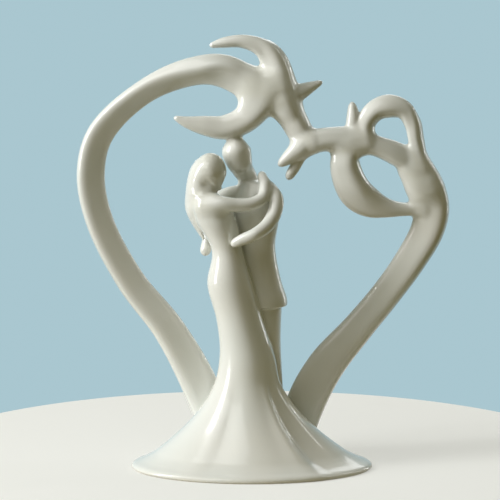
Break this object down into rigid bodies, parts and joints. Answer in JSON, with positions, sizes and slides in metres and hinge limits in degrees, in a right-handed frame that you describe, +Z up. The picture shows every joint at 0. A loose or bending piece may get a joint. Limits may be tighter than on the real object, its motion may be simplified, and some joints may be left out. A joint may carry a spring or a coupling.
{
  "type": "wedding cake topper",
  "caption": "Glazed porcelain bride and groom embracing inside an open heart whose arms rise behind the gown and end in doves; stands on a flat foot on a cake.",
  "frame": {"origin": "on the flat foot of the gown, where the couple's weight comes down on the cake", "axes": "+Z up from the cake, +X to the right as the viewer sees the couple, +Y away from the viewer"},
  "size_m": [0.1406, 0.058, 0.1623],
  "materials": {
    "porcelain": "glossy warm white glaze"
  },
  "bodies": {
    "root": {"bride_gown": "porcelain", "bride_head": "porcelain", "bride_hair": "porcelain", "bride_near_arm": "porcelain", "bride_far_arm": "porcelain", "groom_jacket": "porcelain", "groom_trousers": "porcelain", "groom_head": "porcelain", "groom_near_arm": "porcelain", "groom_far_arm": "porcelain", "left_heart_arm": "porcelain", "left_dove_body": "porcelain", "left_dove_upper_wing": "porcelain", "left_dove_lower_wing": "porcelain", "left_dove_head": "porcelain", "left_dove_tail": "porcelain", "right_heart_arm": "porcelain", "right_dove_body": "porcelain", "right_dove_upper_wing": "porcelain", "right_dove_lower_wing": "porcelain", "right_dove_head": "porcelain", "right_dove_tail": "porcelain", "right_dove_feather": "porcelain"}
  },
  "joints": []
}
